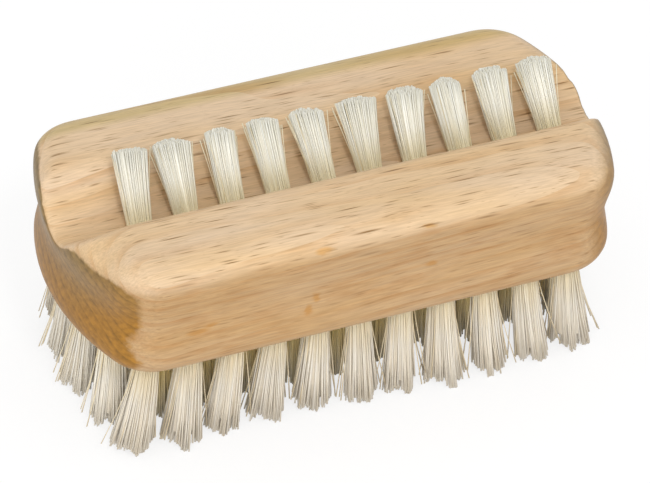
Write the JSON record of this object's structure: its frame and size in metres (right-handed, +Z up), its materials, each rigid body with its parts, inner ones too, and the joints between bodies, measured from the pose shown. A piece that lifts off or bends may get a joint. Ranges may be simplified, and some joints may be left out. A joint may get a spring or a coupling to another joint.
{
  "type": "nail brush",
  "caption": "Double-sided wooden nail brush with rows of scrubbing bristle under the block and a leaning row of bristle in a trough along its top.",
  "frame": {"origin": "under the middle of the block, on the plane that the tips of the scrubbing bristles rest on", "axes": "+X along the block, +Y towards the ridge that the nail row leans to, +Z up through the trough"},
  "size_m": [0.095, 0.047, 0.0431],
  "materials": {
    "oiled_beech": "oiled, satin",
    "pale_bristle": "natural bristle, faint sheen",
    "cream_bristle": "natural bristle, faint sheen",
    "anchor_wire": "drawn wire"
  },
  "bodies": {
    "root": {"block": "oiled_beech", "nail_tuft_1": "pale_bristle", "nail_tuft_2": "pale_bristle", "nail_tuft_3": "pale_bristle", "nail_tuft_4": "pale_bristle", "nail_tuft_5": "pale_bristle", "nail_tuft_6": "pale_bristle", "nail_tuft_7": "pale_bristle", "nail_tuft_8": "pale_bristle", "nail_tuft_9": "pale_bristle", "nail_tuft_10": "pale_bristle", "scrub_row_1": "cream_bristle", "scrub_row_2": "cream_bristle", "scrub_row_3": "cream_bristle", "scrub_row_4": "cream_bristle", "scrub_row_5": "cream_bristle", "nail_anchors": "anchor_wire", "scrub_anchors_1": "anchor_wire", "scrub_anchors_2": "anchor_wire", "scrub_anchors_3": "anchor_wire", "scrub_anchors_4": "anchor_wire", "scrub_anchors_5": "anchor_wire"}
  },
  "joints": []
}
